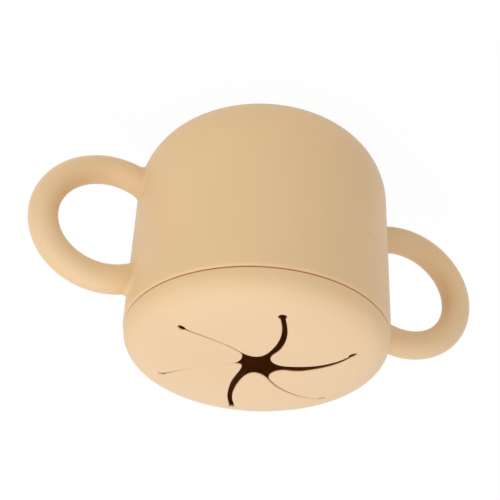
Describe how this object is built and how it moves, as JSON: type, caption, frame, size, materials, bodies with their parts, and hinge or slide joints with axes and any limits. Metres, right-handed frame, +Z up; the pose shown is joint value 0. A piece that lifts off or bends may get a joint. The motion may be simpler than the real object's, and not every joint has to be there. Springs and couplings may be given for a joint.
{
  "type": "toddler snack container",
  "caption": "Soft round snack cup with a ring handle on each side and a soft lid cut by curved slits into flaps that a small hand can push through.",
  "frame": {"origin": "centre of the flat base, on the surface the cup stands on", "axes": "+Z up through the lid, +X out through the left handle, +Y completes a right-handed frame"},
  "size_m": [0.1474, 0.081, 0.0783],
  "materials": {
    "cup_silicone": "soft matt moulded silicone, warm sand beige",
    "handle_silicone": "soft matt moulded silicone, warm sand beige",
    "lid_silicone": "soft matt moulded silicone, slightly lighter sand beige"
  },
  "bodies": {
    "cup": {"cup_shell": "cup_silicone", "left_handle": "handle_silicone", "right_handle": "handle_silicone"},
    "lid": {"lid_rim": "lid_silicone"},
    "flap_1": {"flap_1": "lid_silicone"},
    "flap_2": {"flap_2": "lid_silicone"},
    "flap_3": {"flap_3": "lid_silicone"},
    "flap_4": {"flap_4": "lid_silicone"},
    "flap_5": {"flap_5": "lid_silicone"},
    "flap_6": {"flap_6": "lid_silicone"}
  },
  "joints": [
    {"name": "lid_lift", "type": "slide", "parent": "cup", "child": "lid", "axis": [0, 0, 1], "range_m": [0, 0.06]},
    {"name": "flap_1_bend", "type": "hinge", "parent": "lid", "child": "flap_1", "pos_m": [0.01059, 0.02325, 0.07681], "axis": [0.91, -0.4147, 0], "range_deg": [-30, 60], "stiffness_Nm_per_rad": 0.01},
    {"name": "flap_2_bend", "type": "hinge", "parent": "lid", "child": "flap_2", "pos_m": [-0.01484, 0.0208, 0.07681], "axis": [0.8141, 0.5807, 0], "range_deg": [-30, 60], "stiffness_Nm_per_rad": 0.01},
    {"name": "flap_3_bend", "type": "hinge", "parent": "lid", "child": "flap_3", "pos_m": [-0.02543, -0.00245, 0.07681], "axis": [-0.0958, 0.9954, 0], "range_deg": [-30, 60], "stiffness_Nm_per_rad": 0.01},
    {"name": "flap_4_bend", "type": "hinge", "parent": "lid", "child": "flap_4", "pos_m": [-0.01059, -0.02325, 0.07681], "axis": [-0.91, 0.4147, 0], "range_deg": [-30, 60], "stiffness_Nm_per_rad": 0.01},
    {"name": "flap_5_bend", "type": "hinge", "parent": "lid", "child": "flap_5", "pos_m": [0.01484, -0.0208, 0.07681], "axis": [-0.8141, -0.5807, 0], "range_deg": [-30, 60], "stiffness_Nm_per_rad": 0.01},
    {"name": "flap_6_bend", "type": "hinge", "parent": "lid", "child": "flap_6", "pos_m": [0.02543, 0.00245, 0.07681], "axis": [0.0958, -0.9954, 0], "range_deg": [-30, 60], "stiffness_Nm_per_rad": 0.01}
  ]
}
